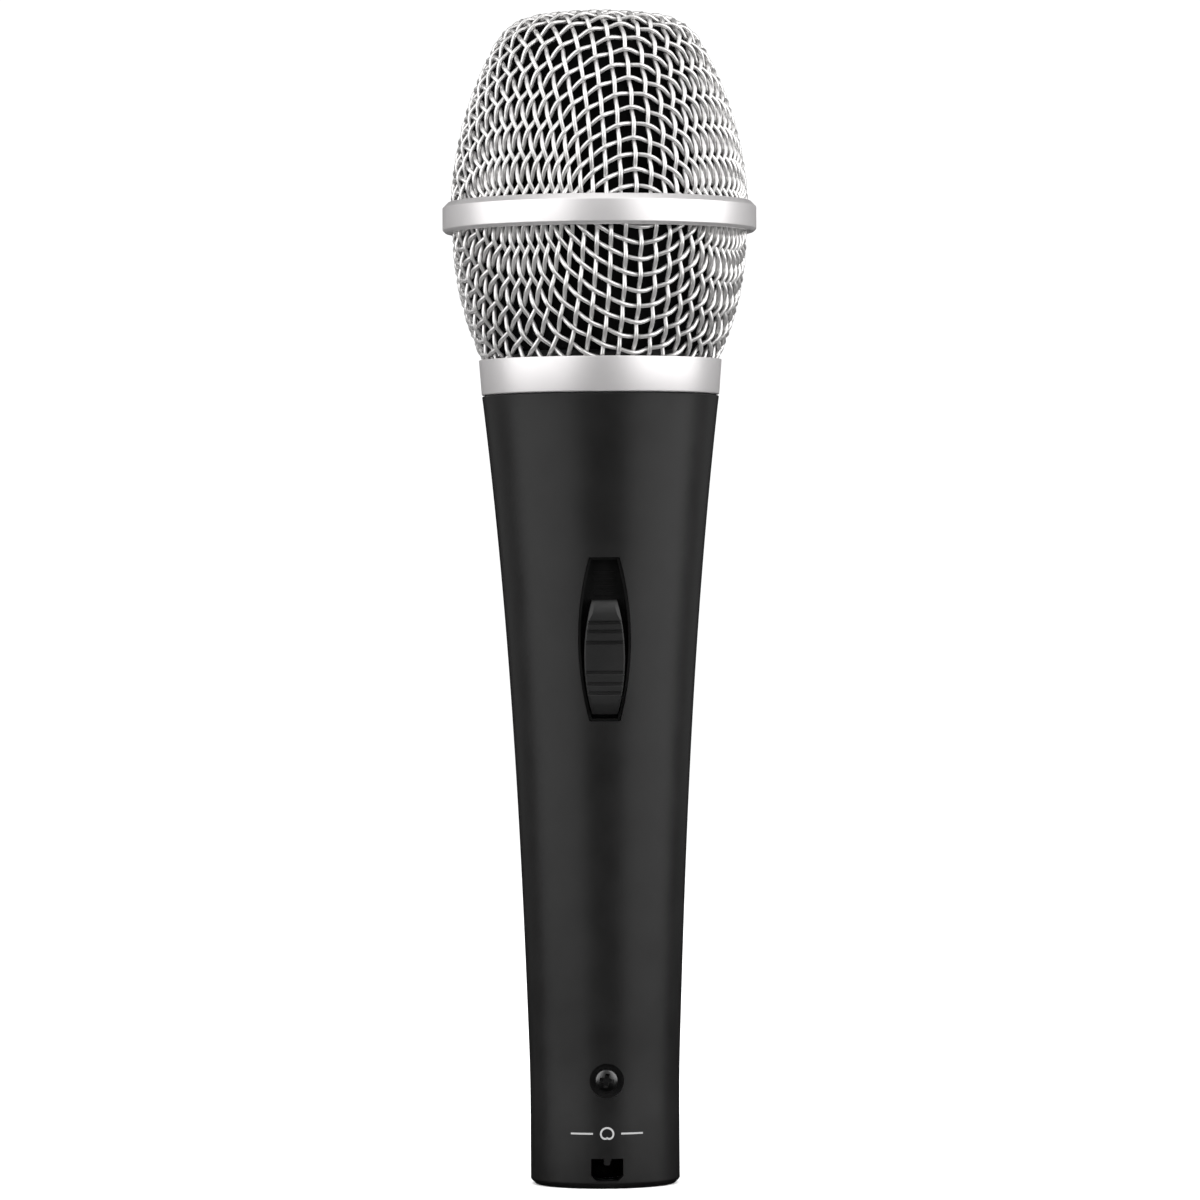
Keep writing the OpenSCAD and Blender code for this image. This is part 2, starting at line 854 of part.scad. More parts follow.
// Band that clamps the rims of both baskets on either side of its inner web
module grille_band() {
    z0 = band_mid_z - band_h / 2;
    z1 = band_mid_z + band_h / 2;
    outer = band_d / 2;
    top_chamfer = 0.9;
    foot_chamfer = 0.45;
    web_r = upper_r - mesh_t - 0.3;
    color("silver")
        rotate_extrude()
            polygon([
                [lower_r + fit_gap, z0], [outer - foot_chamfer, z0], [outer, z0 + foot_chamfer],
                [outer, z1 - top_chamfer], [outer - top_chamfer, z1], [upper_r + fit_gap, z1],
                [upper_r + fit_gap, band_mid_z + band_web_h / 2], [web_r, band_mid_z + band_web_h / 2],
                [web_r, band_mid_z - band_web_h / 2], [lower_r + fit_gap, band_mid_z - band_web_h / 2]
            ]);
}

// Foam lining: it follows the baskets outside and clears the capsule inside
module pop_foam() {
    inset = mesh_t + foam_gap;
    web_clear = 0.3;
    waist_r = upper_r - mesh_t - 0.3 - web_clear;
    bore_top_z = cap_top_z + 7;
    color("#0d0d0d")
        rotate_extrude()
            polygon(concat(
                upper_outline(inset, band_mid_z + 1),
                [[waist_r, band_mid_z + 0.6], [waist_r, band_mid_z - 1.6]],
                lower_outline(inset + 0.2, band_mid_z - 2, foam_bottom_z),
                [[foam_bore_r, foam_bottom_z], [foam_bore_r, bore_top_z]],
                reversed(arc(crown_centre, crown_r - inset - foam_t, 0, crown_end_a, 3))
            ));
}

handle_shell();
connector_insert();
connector_pins();
connector_ground_spring();
connector_screw();
connector_leads();
switch_surround();
switch_slider();
switch_carriage();
switch_knob();
switch_frame();
switch_body();
switch_contacts();
switch_board();
switch_screws();
capsule_shock_mount();
rear_chamber();
capsule_terminals();
capsule_leads();
rear_felt();
capsule_frame();
magnet_yoke();
magnet();
pole_piece();
magnet_top_plate();
voice_coil();
diaphragm();
diaphragm_ring();
capsule_gauze();
capsule_cap();
head_seal();
grille_collar();
grille_lower();
grille_band();
grille_upper();
pop_foam();
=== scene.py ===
"""Looks of a handheld dynamic microphone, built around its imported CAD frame.

Lengths are in metres. +Z runs from the connector to the head and -Y is the front.
"""

import json
import math

import bmesh
import bpy
import numpy as np
from mathutils import Matrix, Vector


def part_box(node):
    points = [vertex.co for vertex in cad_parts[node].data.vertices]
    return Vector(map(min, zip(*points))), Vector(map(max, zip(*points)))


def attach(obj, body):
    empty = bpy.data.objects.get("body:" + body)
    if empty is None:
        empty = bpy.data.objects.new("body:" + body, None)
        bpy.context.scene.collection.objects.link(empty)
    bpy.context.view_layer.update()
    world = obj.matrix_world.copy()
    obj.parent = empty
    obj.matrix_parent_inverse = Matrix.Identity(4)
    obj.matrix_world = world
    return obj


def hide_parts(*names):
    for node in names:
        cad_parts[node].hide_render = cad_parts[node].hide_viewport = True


MM = 0.001

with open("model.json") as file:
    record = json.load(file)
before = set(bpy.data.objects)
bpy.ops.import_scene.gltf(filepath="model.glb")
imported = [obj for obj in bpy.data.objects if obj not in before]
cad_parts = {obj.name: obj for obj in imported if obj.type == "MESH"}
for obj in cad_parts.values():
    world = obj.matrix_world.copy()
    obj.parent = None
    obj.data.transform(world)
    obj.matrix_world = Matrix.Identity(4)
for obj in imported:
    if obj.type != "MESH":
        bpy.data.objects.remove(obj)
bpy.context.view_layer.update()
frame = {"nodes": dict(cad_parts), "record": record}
nodes = frame["nodes"]
scene = bpy.context.scene


# ---------------------------------------------------------------- sizes

# head
WIRE_D = 0.7 * MM
CELL = 2.46 * MM
DRAWN_STRETCH = 0.10      # how much longer a cell's side gets where the drawn cloth is sheared most
DRAWN_FROM = 20 * MM      # distance from the apex at which that stretch is complete
CROWN_R = 70 * MM         # the upper basket's top
SHOULDER_R = 8.4 * MM     # the corner between its top and its side
SIDE_R = 56 * MM
BELLY_R = 47 * MM         # the lower basket's side
BLANK_FOOT_R = 4 * MM     # corner of the closed blank that the lower net is drawn over
NET_BEYOND = 14 * MM      # how far the nets go on past the baskets' rims before they are trimmed
UPPER_SQUARE_AZ = 13.0    # where the upper basket's cells are square, in degrees from the front towards +X
LOWER_SQUARE_AZ = 15.0
WEAVE_STEPS = 5           # points on a wire for each crossing
WAVE_H = WIRE_D * 0.505   # a wire's middle swings this far either way, so crossing wires just clear
RIM_GAP = 0.05 * MM       # between a basket's rim and the ring that holds it

# handle
TAIL_R = 11.7 * MM
TAIL_BORE_R = 9.6 * MM
TAIL_BORE_LEN = 22 * MM
TAPER_START = 17 * MM
TAPER_EASE = 5 * MM       # half the length over which the straight tail turns into the taper
HANDLE_LEN = 123.5 * MM
HANDLE_TOP_R = 18.6 * MM
CONE_SLOPE = 0.033        # radius that the taper gains for each unit of height
FLARE_POWER = 2.7         # the higher, the nearer to the top the extra flare comes
WALL = 1.6 * MM
NECK_R = 17.2 * MM
NECK_BORE_R = 15.7 * MM
NECK_TOP_Z = 128 * MM
NECK_WALL_Z = 118 * MM    # below this the bore follows the handle's outside
THREAD_PITCH = 1 * MM
THREAD_DEPTH = 0.3 * MM
THREAD_TURNS = 4
SEAL_GROOVE_OUT_R, SEAL_GROOVE_IN_R, SEAL_GROOVE_D = 18.2 * MM, 17.4 * MM, 0.5 * MM
COLLAR_SHELF_R = 16.65 * MM
COLLAR_BORE_R = 17.28 * MM
COLLAR_SET_IN = 0.42 * MM  # how much narrower the collar is at its foot than at its top

# switch; its slider is measured from the slot's middle, with Y into the handle
SLOT_MID_Z = 85.4 * MM
SLOT_LEN, SLOT_MID_W, SLOT_END_W = 25.5 * MM, 8.2 * MM, 4.8 * MM
SLOT_FRONT_Y, SLOT_BACK_Y = -3 * MM, 4 * MM
SLIDER_LEN, SLIDER_MID_W, SLIDER_END_W = 17.7 * MM, 6.3 * MM, 3.9 * MM
SLIDER_MID_Z = -2.8 * MM
SLIDER_TOP_Y = -1.15 * MM
SLIDER_FOOT_Y = 2.7 * MM
SLIDER_STEPS = [2.6 * MM, 4.35 * MM, 5.75 * MM]    # where the dish's steps are, from its middle
SLIDER_STEP_H = 0.3 * MM
SLIDER_GROOVE_W, SLIDER_GROOVE_D = 0.55 * MM, 0.35 * MM
SLIDER_LAND = 6.9 * MM    # where the flat top ends, from the slider's middle
SLIDER_END_DROP = 1 * MM  # how much lower the slider's ends are than its flat top
SLIDER_BEVEL = 0.2 * MM
SLIDER_END_BEVEL = 0.55 * MM

# screw, latch window and print on the tail
SCREW_Z = 16.8 * MM
SCREW_HEAD_R = 1.75 * MM
SCREW_HEAD_H = 1.1 * MM
SCREW_DOME_R = 5 * MM
SCREW_SHANK_R, SCREW_SHANK_END = 1.0 * MM, -5 * MM
SCREW_TURN = -8           # degrees the cross recess is turned from upright
CROSS_TOP = (1.25 * MM, 0.38 * MM)    # half the length and half the width of the cross's arms
CROSS_LOW = (0.8 * MM, 0.28 * MM)
CROSS_D = 0.65 * MM
RECESS_R = 2.675 * MM
RECESS_DEPTH = 1.5 * MM
WINDOW_Z, WINDOW_W, WINDOW_H, WINDOW_CORNER = 1.2 * MM, 5 * MM, 3.5 * MM, 0.8 * MM
TAB_ROOT_W, TAB_TIP_W, TAB_H = 1.1 * MM, 0.8 * MM, 1 * MM
WINDOW_D = 5 * MM
PRINT_Z = 8.6 * MM
PRINT_LINE = 0.14 * MM    # half the width of a printed line
HEART_R = 0.75 * MM       # how far the heart-shaped curve reaches straight to the side of its notch
HEART_DROP = 0.6 * MM     # how far its notch is below the rules
RULE_FROM, RULE_TO = 2.2 * MM, 5.6 * MM      # the rules' ends, from the middle
INK_BELOW, INK_ABOVE = -0.01 * MM, 0.012 * MM  # the ink's two faces, from the tail's surface

# from the frame
UPPER_LO, UPPER_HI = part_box("grille_upper")
LOWER_LO, LOWER_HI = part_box("grille_lower")
BAND_LO, BAND_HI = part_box("grille_band")
COLLAR_LO, COLLAR_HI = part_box("grille_collar")
FOAM_LO, FOAM_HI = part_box("pop_foam")
BAND_MID_Z = (BAND_LO.z + BAND_HI.z) / 2
BAND_R = BAND_HI.x
APEX_Z = UPPER_HI.z


def handle_r(z):
    """Radius of the handle's outside at height z."""
    past = z - TAPER_START
    taper_len = HANDLE_LEN - TAPER_START
    eased = (past + TAPER_EASE) ** 2 / (4 * TAPER_EASE) if abs(past) < TAPER_EASE else max(past, 0)
    flare = HANDLE_TOP_R - TAIL_R - CONE_SLOPE * taper_len
    return TAIL_R + CONE_SLOPE * eased + flare * (max(past, 0) / taper_len) ** FLARE_POWER


SLOT_TILT = math.atan2(handle_r(SLOT_MID_Z + MM) - handle_r(SLOT_MID_Z - MM), 2 * MM)
AT_SWITCH = Matrix.Translation((0, -handle_r(SLOT_MID_Z), SLOT_MID_Z)) @ Matrix.Rotation(SLOT_TILT, 4, "X")


# ---------------------------------------------------------------- mesh helpers

def mesh_object(name, verts, faces, smooth=True):
    """A new object in the scene with this mesh."""
    data = bpy.data.meshes.new(name)
    data.from_pydata([tuple(v) for v in verts], [], [tuple(f) for f in faces])
    data.validate()
    obj = bpy.data.objects.new(name, data)
    scene.collection.objects.link(obj)
    data.polygons.foreach_set("use_smooth", [smooth] * len(data.polygons))
    return obj


def arc(centre, r, a0, a1, n):
    """Points on an arc in the (radius, height) plane; angles in radians from +Z towards the outside."""
    angles = np.linspace(a0, a1, n + 1)
    return [(centre[0] + r * math.sin(a), centre[1] + r * math.cos(a)) for a in angles]


def rounded(profile, radii):
    """A closed profile with each corner rounded by about its own radius."""
    steps = 4
    longest = 0.45        # part of a side that a corner may take up
    out = []
    count = len(profile)
    for i, r in enumerate(radii):
        p = np.array(profile[i], float)
        to_prev = np.array(profile[i - 1], float) - p
        to_next = np.array(profile[(i + 1) % count], float) - p
        u, v = to_prev / np.linalg.norm(to_prev), to_next / np.linalg.norm(to_next)
        half = math.acos(np.clip(u @ v, -1, 1)) / 2
        if r <= 0 or half > 1.5:
            out.append(tuple(p))
            continue
        cut = min(r / math.tan(half), longest * np.linalg.norm(to_prev), longest * np.linalg.norm(to_next))
        for t in np.linspace(0, 1, steps + 1):
            out.append(tuple(p + cut * ((1 - t) ** 2 * u + t ** 2 * v)))
    return out


def lathe(name, profile, segments):
    """Revolves a closed loop of (radius, height) points round Z. A point on the axis makes one vertex."""
    on_axis = 1e-7
    verts, rings = [], []
    angles = np.linspace(0, 2 * math.pi, segments, endpoint=False)
    for r, z in profile:
        if r < on_axis:
            rings.append([len(verts)] * segments)
            verts.append((0, 0, z))
            continue
        rings.append(list(range(len(verts), len(verts) + segments)))
        verts += [(r * math.cos(a), r * math.sin(a), z) for a in angles]
    faces = []
    for lower, upper in zip(rings, rings[1:] + rings[:1]):
        for k in range(segments):
            k2 = (k + 1) % segments
            face = []
            for v in (lower[k], lower[k2], upper[k2], upper[k]):
                if v not in face:
                    face.append(v)
            if len(face) > 2:
                faces.append(face)
    return outward(mesh_object(name, verts, faces))


def outward(obj):
    """Turns every face to look out of the solid."""
    bm = bmesh.new()
    bm.from_mesh(obj.data)
    bmesh.ops.recalc_face_normals(bm, faces=bm.faces)
    bm.to_mesh(obj.data)
    bm.free()
    return obj


def sharp_by_angle(obj, degrees):
    """Smooth shading, with edges sharper than the given angle kept crisp."""
    obj.data.polygons.foreach_set("use_smooth", [True] * len(obj.data.polygons))
    obj.data.set_sharp_from_angle(angle=math.radians(degrees))


def prism(name, outline, near, far):
    """A closed block from an outline in the X-Z plane, between two depths along Y."""
    n = len(outline)
    verts = [(x, near, z) for x, z in outline] + [(x, far, z) for x, z in outline]
    faces = [list(range(n)), list(range(2 * n - 1, n - 1, -1))]
    faces += [[k, (k + 1) % n, n + (k + 1) % n, n + k] for k in range(n)]
    return outward(mesh_object(name, verts, faces))


def loft(name, sections):
    """A closed block through sections that have the same number of points."""
    n = len(sections[0])
    verts = [p for section in sections for p in section]
    faces = [list(range(n)), list(range(len(verts) - 1, len(verts) - n - 1, -1))]
    for i in range(len(sections) - 1):
        near, far = i * n, (i + 1) * n
        faces += [[near + k, near + (k + 1) % n, far + (k + 1) % n, far + k] for k in range(n)]
    return outward(mesh_object(name, verts, faces))


def cut_away(obj, *cutters):
    """Takes the cutters' volumes out of obj for good."""
    for cutter in cutters:
        cut = obj.modifiers.new("cut", "BOOLEAN")
        cut.operation, cut.solver, cut.object = "DIFFERENCE", "EXACT", cutter
    graph = bpy.context.evaluated_depsgraph_get()
    graph.update()
    data = bpy.data.meshes.new_from_object(obj.evaluated_get(graph))
    obj.modifiers.clear()
    obj.data = data
    for cutter in cutters:
        bpy.data.objects.remove(cutter)
    return obj


def barrel_half_width(z, length, mid_w, end_w):
    """Half the width, at height z, of an outline with straight ends and bowed sides."""
    bow = (mid_w - end_w) / 2
    bow_r = (bow * bow + length * length / 4) / (2 * bow)
    return mid_w / 2 - bow_r + math.sqrt(bow_r * bow_r - z * z)


# ---------------------------------------------------------------- woven grille

class Revolved:
    """A surface of revolution that a net of wire lies on.

    Distance s is measured from the axis along the profile. The profile starts on the axis; outside
    is 1 where it runs down from there and -1 where it runs up.
    """

    def __init__(self, profile, outside):
        self.outside = outside
        p = np.array(profile)
        keep = np.r_[True, np.linalg.norm(np.diff(p, axis=0), axis=1) > 1e-9]
        p = p[keep]
        self.s = np.r_[0, np.cumsum(np.linalg.norm(np.diff(p, axis=0), axis=1))]
        self.r, self.z = p[:, 0], p[:, 1]
        slope = np.gradient(p, self.s, axis=0)
        self.tr, self.tz = slope[:, 0], slope[:, 1]

    def at(self, s):
        return np.interp(s, self.s, self.r), np.interp(s, self.s, self.z)

    def place(self, s, phi):
        r, z = self.at(s)
        return np.stack([r * np.cos(phi), r * np.sin(phi), z], -1)

    def tangent(self, s):
        tr, tz = np.interp(s, self.s, self.tr), np.interp(s, self.s, self.tz)
        size = np.hypot(tr, tz)
        return tr / size, tz / size


def drape_net(surface, cell):
    """Lays a square net on the surface.

    Each crossing lies one cell's side away from the two crossings before it. Gives the distance from
    the axis along the profile, and the angle round the axis, of every crossing.
    """
    n = int(surface.s[-1] / cell)
    s = np.full((2 * n + 1, 2 * n + 1), np.nan)
    phi = s.copy()
    s[n:, n] = s[n, n:] = np.arange(n + 1) * cell
    phi[n:, n], phi[n, n:] = 0, math.pi / 2
    for i in range(n + 1, 2 * n + 1):
        for j in range(n + 1, 2 * n + 1):
            sheared = math.sin(2 * math.atan2(j - n, i - n)) ** 2
            drawn = min(1, math.hypot(i - n, j - n) * cell / DRAWN_FROM)
            side = cell * (1 + DRAWN_STRETCH * sheared * drawn)
            s[i, j], phi[i, j] = next_crossing(surface, side, s, phi, i, j)
    for _ in range(3):
        empty = np.isnan(s)
        s, phi = np.where(empty, np.rot90(s, -1), s), np.where(empty, np.rot90(phi, -1) - math.pi / 2, phi)
    return s, phi


def next_crossing(surface, side, s, phi, i, j):
    """The point of the surface one side away from both of its earlier neighbours, by Newton's method."""
    max_turn = 0.3        # radians in one step
    tolerance = 0.2 * side
    near = surface.place(np.array([s[i - 1, j], s[i, j - 1]]), np.array([phi[i - 1, j], phi[i, j - 1]]))
    back = surface.place(s[i - 1, j - 1], phi[i - 1, j - 1])
    if np.isnan(near).any() or np.isnan(back).any():
        return np.nan, np.nan
    guess = near.sum(0) - back
    angle = math.atan2(guess[1], guess[0])
    along = max(s[i - 1, j], s[i, j - 1]) + side / 2
    for _ in range(30):
        p = surface.place(along, angle)
        r = surface.at(along)[0]
        tr, tz = surface.tangent(along)
        by_s = np.array([tr * math.cos(angle), tr * math.sin(angle), tz])
        by_angle = np.array([-r * math.sin(angle), r * math.cos(angle), 0])
        apart = p - near
        jacobian = 2 * np.stack([apart @ by_s, apart @ by_angle], 1)
        missing = (apart ** 2).sum(1) - side ** 2
        step = np.linalg.lstsq(jacobian, -missing, rcond=1e-6)[0]
        along = min(max(along + np.clip(step[0], -side, side), 0), surface.s[-1])
        angle += np.clip(step[1], -max_turn, max_turn)
    solved = abs(missing).max() < tolerance ** 2 and along < surface.s[-1]
    return (along, angle) if solved else (np.nan, np.nan)


def smooth_between(values, steps):
    """Catmull-Rom points between the rows of values."""
    padded = np.vstack([2 * values[0] - values[1], values, 2 * values[-1] - values[-2]])
    t = np.arange(steps) / steps
    rows = []
    for i in range(len(values) - 1):
        a, b, c, d = padded[i:i + 4]
        for x in t:
            rows.append(0.5 * (2 * b + (c - a) * x + (2 * a - 5 * b + 4 * c - d) * x * x
                               + (3 * b - a - 3 * c + d) * x ** 3))
    rows.append(values[-1])
    return np.array(rows)


def tube(points, normals, radius):
    """Vertices and faces of a closed round tube along points; normals lie across it."""
    sides = 8
    along = np.gradient(points, axis=0)
    along /= np.linalg.norm(along, axis=1)[:, None]
    up = normals - (normals * along).sum(1)[:, None] * along
    up /= np.linalg.norm(up, axis=1)[:, None]
    across = np.cross(along, up)
    a = np.linspace(0, 2 * math.pi, sides, endpoint=False)
    a = a[None, :, None]
    rings = points[:, None] + radius * (np.cos(a) * up[:, None] + np.sin(a) * across[:, None])
    m = len(points)
    k = np.arange(sides)
    k2 = (k + 1) % sides
    i = np.arange(m - 1)[:, None] * sides
    quads = np.stack([i + k, i + k2, i + sides + k2, i + sides + k], -1).reshape(-1, 4)
    caps = [list(k[::-1]), list((m - 1) * sides + k)]
    return rings.reshape(-1, 3), quads.tolist() + caps


def wire_path(surface, s_line, phi_line, phase):
    """Smooth line through a wire's crossings, its normals, and the wire's middle, which waves about it."""
    line = smooth_between(surface.place(s_line, phi_line), WEAVE_STEPS)
    tr, tz = surface.tangent(smooth_between(s_line[:, None], WEAVE_STEPS)[:, 0])
    around = np.arctan2(line[:, 1], line[:, 0])
    normal = surface.outside * np.stack([-tz * np.cos(around), -tz * np.sin(around), tr], -1)
    wave = np.cos(math.pi * (np.arange(len(line)) / WEAVE_STEPS + phase))[:, None] * WAVE_H
    return line, normal, line + normal * wave


def weave(name, surface, z_lo, z_hi, azimuth):
    """Two pieces, one for each direction of the wires, in plain weave between two heights."""
    s, phi = drape_net(surface, CELL)
    phi = phi + math.radians(azimuth - 90)
    pieces = []
    for family, tag in enumerate(("warp", "weft")):
        verts, faces = [], []
        for row in range(s.shape[0]):
            pick = (row, slice(None)) if family == 0 else (slice(None), row)
            on = np.flatnonzero(~np.isnan(s[pick]))
            if len(on) < 3:
                continue
            line, normal, path = wire_path(surface, s[pick][on], phi[pick][on], on[0] + row + family)
            inside = (line[:, 2] >= z_lo) & (line[:, 2] <= z_hi)
            for run in np.split(np.arange(len(line)), np.flatnonzero(np.diff(inside.astype(int))) + 1):
                if not inside[run[0]] or len(run) < 3:
                    continue
                v, f = tube(path[run], normal[run], WIRE_D / 2)
                faces += [[q + len(verts) for q in face] for face in f]
                verts += v.tolist()
        pieces.append(mesh_object(f"{name}_{tag}", verts, faces))
    return pieces


def circles_cross(c0, r0, c1, r1):
    """The outer point where two circles cross."""
    c0, c1 = np.array(c0), np.array(c1)
    d = np.linalg.norm(c1 - c0)
    along = (r0 * r0 - r1 * r1 + d * d) / (2 * d)
    across = math.sqrt(r0 * r0 - along * along)
    u = (c1 - c0) / d
    both = [c0 + along * u + k * across * np.array([-u[1], u[0]]) for k in (-1, 1)]
    return max(both, key=lambda q: q[0])


def upper_profile(inset, beyond=0.0):
    """The upper basket's outline from its apex to its rim, moved inwards by inset."""
    crown_c = (0.0, APEX_Z - CROWN_R)
    side_c = (UPPER_HI.x - SIDE_R, BAND_MID_Z)
    shoulder_c = circles_cross(crown_c, CROWN_R - SHOULDER_R, side_c, SIDE_R - SHOULDER_R)
    a1 = math.atan2(shoulder_c[0] - crown_c[0], shoulder_c[1] - crown_c[1])
    a2 = math.atan2(shoulder_c[0] - side_c[0], shoulder_c[1] - side_c[1])
    a3 = math.acos((UPPER_LO.z - beyond - side_c[1]) / (SIDE_R - inset))
    crown = arc(crown_c, CROWN_R - inset, 0, a1, 40)
    shoulder = arc(shoulder_c, SHOULDER_R - inset, a1, a2, 60)
    side = arc(side_c, SIDE_R - inset, a2, a3, 90)
    return crown[:-1] + shoulder[:-1] + side


def lower_profile(inset, beyond=0.0):
    """The lower basket's outline from its closed blank's foot up to its rim, moved inwards by inset."""
    belly_c = (LOWER_HI.x - BELLY_R, BAND_LO.z)
    belly_r = BELLY_R - inset
    a_low = math.acos((LOWER_LO.z - belly_c[1]) / belly_r)
    a_high = math.acos((LOWER_HI.z + beyond - belly_c[1]) / belly_r)
    to_foot = belly_r - BLANK_FOOT_R
    foot = (belly_c[0] + to_foot * math.sin(a_low), belly_c[1] + to_foot * math.cos(a_low))
    base = [(r, foot[1] - BLANK_FOOT_R) for r in np.linspace(0, foot[0], 30)]
    corner = arc(foot, BLANK_FOOT_R, math.pi, a_low, 40)
    belly = arc(belly_c, belly_r, a_low, a_high, 90)
    return base[:-1] + corner[:-1] + belly


def build_grilles():
    """The woven wire of both baskets."""
    upper = Revolved(upper_profile(WIRE_D, NET_BEYOND), outside=1)
    lower = Revolved(lower_profile(WIRE_D, NET_BEYOND), outside=-1)
    baskets = (("grille_upper", upper, UPPER_SQUARE_AZ), ("grille_lower", lower, LOWER_SQUARE_AZ))
    for node, surface, azimuth in baskets:
        lo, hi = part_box(node)
        for piece in weave(node, surface, lo.z, hi.z, azimuth):
            finish_piece(piece, "head", "grille_wire", node)


# ---------------------------------------------------------------- pieces

def finish_piece(obj, body, slot_name, *replaced):
    """Gives a piece its material, hangs it on the body it rides on and hides the CAD nodes it stands for.
    """
    obj.data.materials.clear()
    obj.data.materials.append(materials[slot_name])
    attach(obj, body)
    if replaced:
        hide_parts(*replaced)
    return obj


def build_foam():
    """Lining of the head: it fills both baskets up to the wire and is hollow inside."""
    inset = 2 * WIRE_D + 0.25 * MM
    more_inset = inset + 0.2 * MM       # inside the lower basket
    dome_wall, dome_edge = 4 * MM, 0.15
    bore_r, seat_r = 16.5 * MM, 16.6 * MM
    bore_top = FOAM_HI.z - 15 * MM
    waist_r = UPPER_HI.x - 2 * WIRE_D - 0.6 * MM
    waist = [(waist_r, BAND_MID_Z + 0.6 * MM), (waist_r, BAND_MID_Z - 1.6 * MM)]
    top = [p for p in upper_profile(inset) if p[1] > BAND_MID_Z + 1 * MM]
    low = [p for p in lower_profile(more_inset)[::-1]
           if FOAM_LO.z < p[1] < BAND_MID_Z - 2 * MM and p[0] > seat_r]
    dome = arc((0, APEX_Z - CROWN_R), CROWN_R - inset - dome_wall, dome_edge, 0, 6)
    inner = [(bore_r, FOAM_LO.z), (bore_r, bore_top)] + dome
    foam = lathe("foam_windscreen", top + waist + low + inner, 160)
    finish_piece(foam, "head", "foam", "pop_foam")


def build_band():
    """Ring with a rim above and below for the baskets, and a web between the two rims."""
    z0, z1 = BAND_LO.z, BAND_HI.z
    top_c, foot_c = 0.9 * MM, 0.45 * MM
    upper_in, lower_in = UPPER_HI.x + RIM_GAP, LOWER_HI.x + RIM_GAP
    web_r, half_web = UPPER_HI.x - 2 * WIRE_D - 0.3 * MM, 0.25 * MM
    outside = [(lower_in, z0), (BAND_R - foot_c, z0), (BAND_R, z0 + foot_c), (BAND_R, z1 - top_c),
               (BAND_R - top_c, z1), (upper_in, z1)]
    inside = [(upper_in, BAND_MID_Z + half_web), (web_r, BAND_MID_Z + half_web),
              (web_r, BAND_MID_Z - half_web), (lower_in, BAND_MID_Z - half_web)]
    small, soft = 0.08 * MM, 0.3 * MM
    radii = [small, soft, soft, soft, soft, small] + [0] * len(inside)
    band = lathe("head_band", rounded(outside + inside, radii), 256)
    sharp_by_angle(band, 40)
    finish_piece(band, "head", "satin_nickel", "grille_band")


def build_collar():
    """Ring under the lower basket, with a shelf inside that stops on the neck."""
    z0, z1 = COLLAR_LO.z, COLLAR_HI.z
    basket_r = LOWER_HI.x - BELLY_R + math.sqrt(BELLY_R ** 2 - (BAND_LO.z - z1) ** 2)
    lip_r, lip_z = basket_r + RIM_GAP, z1 - 0.5 * MM
    shelf_z = NECK_TOP_Z + 0.3 * MM
    outside = [(COLLAR_BORE_R, z0), (COLLAR_HI.x - COLLAR_SET_IN, z0), (COLLAR_HI.x, z1), (lip_r, z1)]
    inside = [(lip_r, lip_z), (COLLAR_SHELF_R, lip_z), (COLLAR_SHELF_R, shelf_z), (COLLAR_BORE_R, shelf_z)]
    soft = 0.22 * MM
    radii = [soft, soft, soft, soft / 3] + [0] * len(inside)
    collar = lathe("collar_ring", rounded(outside + inside, radii), 256)
    sharp_by_angle(collar, 40)
    finish_piece(collar, "head", "satin_nickel", "grille_collar")


def handle_profile():
    """Outside, neck with its thread ridges, and bore of the handle, as (radius, height) points."""
    edge, mouth_round, edge_round = 0.8 * MM, 0.15 * MM, 0.45 * MM
    taper_foot = TAPER_START - TAPER_EASE
    tail = rounded([(TAIL_BORE_R, 0), (TAIL_R - edge, 0), (TAIL_R, edge), (TAIL_R, taper_foot)],
                   [mouth_round, edge_round, edge_round, 0])
    outside = [(handle_r(z), z) for z in np.linspace(taper_foot, HANDLE_LEN, 90)][1:-1]
    chamfer = 0.12 * MM
    shoulder = [(HANDLE_TOP_R, HANDLE_LEN - chamfer), (HANDLE_TOP_R - chamfer, HANDLE_LEN)]
    groove_z = HANDLE_LEN - SEAL_GROOVE_D
    groove = [(SEAL_GROOVE_OUT_R, HANDLE_LEN), (SEAL_GROOVE_OUT_R, groove_z),
              (SEAL_GROOVE_IN_R, groove_z), (SEAL_GROOVE_IN_R, HANDLE_LEN), (NECK_R, HANDLE_LEN)]
    thread = []
    for i in range(THREAD_TURNS):
        z = HANDLE_LEN + (i + 0.5) * THREAD_PITCH
        for depth, turns in ((0, 0), (THREAD_DEPTH, 0.1), (THREAD_DEPTH, 0.4), (0, 0.5)):
            thread.append((NECK_R - depth, z + turns * THREAD_PITCH))
    neck = [(NECK_R - THREAD_DEPTH, NECK_TOP_Z), (NECK_BORE_R, NECK_TOP_Z), (NECK_BORE_R, NECK_WALL_Z)]
    bore_heights = np.linspace(NECK_WALL_Z - MM, TAIL_BORE_LEN + 3 * MM, 40)
    inside = [(handle_r(z) - WALL, z) for z in bore_heights] + [(TAIL_BORE_R, TAIL_BORE_LEN)]
    return tail + outside + shoulder + groove + thread + neck + inside


def slot_cutter():
    """Barrel-shaped hole for the switch."""
    heights = np.linspace(-SLOT_LEN / 2, SLOT_LEN / 2, 41)
    side = [(barrel_half_width(z, SLOT_LEN, SLOT_MID_W, SLOT_END_W), z) for z in heights]
    slot = prism("slot_cutter", side + [(-x, z) for x, z in side[::-1]], SLOT_FRONT_Y, SLOT_BACK_Y)
    slot.data.transform(AT_SWITCH)
    return slot


